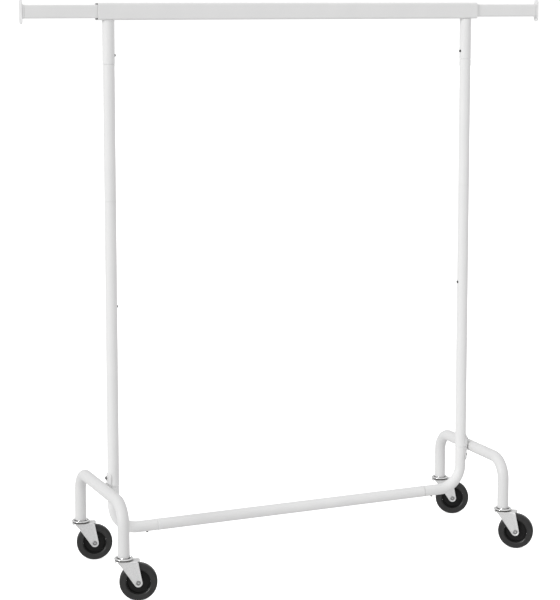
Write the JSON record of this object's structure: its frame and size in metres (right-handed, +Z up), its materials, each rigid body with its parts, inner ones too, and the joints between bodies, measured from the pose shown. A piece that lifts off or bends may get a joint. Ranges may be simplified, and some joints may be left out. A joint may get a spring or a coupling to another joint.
{
  "type": "rolling clothes rack",
  "caption": "Free-standing clothes rack with a tubular frame, pull-out rods at both ends of the hanging rail, a bottom bar and swivel casters.",
  "frame": {"origin": "on the floor, at the middle of the rack's footprint box", "axes": "+X along the hanging rail, +Y towards the back, +Z up"},
  "size_m": [1.6, 0.4744, 1.617],
  "materials": {
    "rail_paint": "satin white powder coat",
    "rod_paint": "satin white powder coat",
    "upright_paint": "satin white powder coat",
    "leg_paint": "satin white powder coat",
    "cap_plastic": "moulded white plastic",
    "bushing_plastic": "dark moulded plastic",
    "button_steel": "bare steel",
    "spring_steel": "bare spring steel",
    "bolt_steel": "zinc plated",
    "race_chrome": "bright plating",
    "fork_zinc": "zinc plated pressed sheet",
    "tyre_rubber": "matte black rubber",
    "hub_plastic": "matte black plastic",
    "axle_steel": "bare steel rivet"
  },
  "bodies": {
    "frame": {"rail_sleeve": "rail_paint", "bottom_bar": "upright_paint", "rail_bushing_left": "bushing_plastic", "rail_stub_left": "upright_paint", "upright_upper_left": "upright_paint", "upright_spigot_left": "upright_paint", "upright_lower_left": "upright_paint", "corner_tube_left": "upright_paint", "leg_left": "leg_paint", "leg_saddle_left": "leg_paint", "saddle_bolt_upper_left": "bolt_steel", "saddle_bolt_lower_left": "bolt_steel", "saddle_nut_plate_left": "bolt_steel", "button_spring_top_left": "spring_steel", "button_spring_middle_left": "spring_steel", "button_spring_bar_left": "spring_steel", "rail_bushing_right": "bushing_plastic", "rail_stub_right": "upright_paint", "upright_upper_right": "upright_paint", "upright_spigot_right": "upright_paint", "upright_lower_right": "upright_paint", "corner_tube_right": "upright_paint", "leg_right": "leg_paint", "leg_saddle_right": "leg_paint", "saddle_bolt_upper_right": "bolt_steel", "saddle_bolt_lower_right": "bolt_steel", "saddle_nut_plate_right": "bolt_steel", "button_spring_top_right": "spring_steel", "button_spring_middle_right": "spring_steel", "button_spring_bar_right": "spring_steel", "caster_stem_front_left": "race_chrome", "caster_stem_rear_left": "race_chrome", "caster_stem_front_right": "race_chrome", "caster_stem_rear_right": "race_chrome"},
    "extension_left": {"extension_rod_left": "rod_paint", "end_cap_left": "cap_plastic"},
    "button_top_left": {"snap_button_top_left": "button_steel"},
    "button_middle_left": {"snap_button_middle_left": "button_steel"},
    "button_bar_left": {"snap_button_bar_left": "button_steel"},
    "extension_right": {"extension_rod_right": "rod_paint", "end_cap_right": "cap_plastic"},
    "button_top_right": {"snap_button_top_right": "button_steel"},
    "button_middle_right": {"snap_button_middle_right": "button_steel"},
    "button_bar_right": {"snap_button_bar_right": "button_steel"},
    "swivel_front_left": {"caster_fork_front_left": "fork_zinc", "caster_axle_front_left": "axle_steel"},
    "wheel_front_left": {"caster_tyre_front_left": "tyre_rubber", "caster_hub_front_left": "hub_plastic"},
    "swivel_rear_left": {"caster_fork_rear_left": "fork_zinc", "caster_axle_rear_left": "axle_steel"},
    "wheel_rear_left": {"caster_tyre_rear_left": "tyre_rubber", "caster_hub_rear_left": "hub_plastic"},
    "swivel_front_right": {"caster_fork_front_right": "fork_zinc", "caster_axle_front_right": "axle_steel"},
    "wheel_front_right": {"caster_tyre_front_right": "tyre_rubber", "caster_hub_front_right": "hub_plastic"},
    "swivel_rear_right": {"caster_fork_rear_right": "fork_zinc", "caster_axle_rear_right": "axle_steel"},
    "wheel_rear_right": {"caster_tyre_rear_right": "tyre_rubber", "caster_hub_rear_right": "hub_plastic"}
  },
  "joints": [
    {"name": "extension_slide_left", "type": "slide", "parent": "frame", "child": "extension_left", "axis": [1, 0, 0], "range_m": [0, 0.206]},
    {"name": "snap_button_top_left_press", "type": "slide", "parent": "frame", "child": "button_top_left", "axis": [-1, 0, 0], "range_m": [0, 0.004], "stiffness_N_per_m": 2500, "springref_m": -0.002, "deforming": ["button_spring_top_left"]},
    {"name": "snap_button_middle_left_press", "type": "slide", "parent": "frame", "child": "button_middle_left", "axis": [-1, 0, 0], "range_m": [0, 0.004], "stiffness_N_per_m": 2500, "springref_m": -0.002, "deforming": ["button_spring_middle_left"]},
    {"name": "snap_button_bar_left_press", "type": "slide", "parent": "frame", "child": "button_bar_left", "axis": [0, 0, 1], "range_m": [0, 0.004], "stiffness_N_per_m": 2500, "springref_m": -0.002, "deforming": ["button_spring_bar_left"]},
    {"name": "extension_slide_right", "type": "slide", "parent": "frame", "child": "extension_right", "axis": [-1, 0, 0], "range_m": [0, 0.206]},
    {"name": "snap_button_top_right_press", "type": "slide", "parent": "frame", "child": "button_top_right", "axis": [1, 0, 0], "range_m": [0, 0.004], "stiffness_N_per_m": 2500, "springref_m": -0.002, "deforming": ["button_spring_top_right"]},
    {"name": "snap_button_middle_right_press", "type": "slide", "parent": "frame", "child": "button_middle_right", "axis": [1, 0, 0], "range_m": [0, 0.004], "stiffness_N_per_m": 2500, "springref_m": -0.002, "deforming": ["button_spring_middle_right"]},
    {"name": "snap_button_bar_right_press", "type": "slide", "parent": "frame", "child": "button_bar_right", "axis": [0, 0, 1], "range_m": [0, 0.004], "stiffness_N_per_m": 2500, "springref_m": -0.002, "deforming": ["button_spring_bar_right"]},
    {"name": "caster_swivel_front_left", "type": "hinge", "parent": "frame", "child": "swivel_front_left", "pos_m": [-0.5916, -0.17533, 0.11], "axis": [0, 0, 1], "continuous": true},
    {"name": "wheel_spin_front_left", "type": "hinge", "parent": "swivel_front_left", "child": "wheel_front_left", "pos_m": [-0.55495, -0.18867, 0.052], "axis": [0.342, 0.9397, 0], "continuous": true},
    {"name": "caster_swivel_rear_left", "type": "hinge", "parent": "frame", "child": "swivel_rear_left", "pos_m": [-0.5916, 0.21067, 0.11], "axis": [0, 0, 1], "continuous": true},
    {"name": "wheel_spin_rear_left", "type": "hinge", "parent": "swivel_rear_left", "child": "wheel_rear_left", "pos_m": [-0.55393, 0.20058, 0.052], "axis": [0.2588, 0.9659, 0], "continuous": true},
    {"name": "caster_swivel_front_right", "type": "hinge", "parent": "frame", "child": "swivel_front_right", "pos_m": [0.5916, -0.17533, 0.11], "axis": [0, 0, 1], "continuous": true},
    {"name": "wheel_spin_front_right", "type": "hinge", "parent": "swivel_front_right", "child": "wheel_front_right", "pos_m": [0.62315, -0.19825, 0.052], "axis": [0.5878, 0.809, 0], "continuous": true},
    {"name": "caster_swivel_rear_right", "type": "hinge", "parent": "frame", "child": "swivel_rear_right", "pos_m": [0.5916, 0.21067, 0.11], "axis": [0, 0, 1], "continuous": true},
    {"name": "wheel_spin_rear_right", "type": "hinge", "parent": "swivel_rear_right", "child": "wheel_rear_right", "pos_m": [0.62723, 0.19481, 0.052], "axis": [0.4067, 0.9135, 0], "continuous": true}
  ]
}
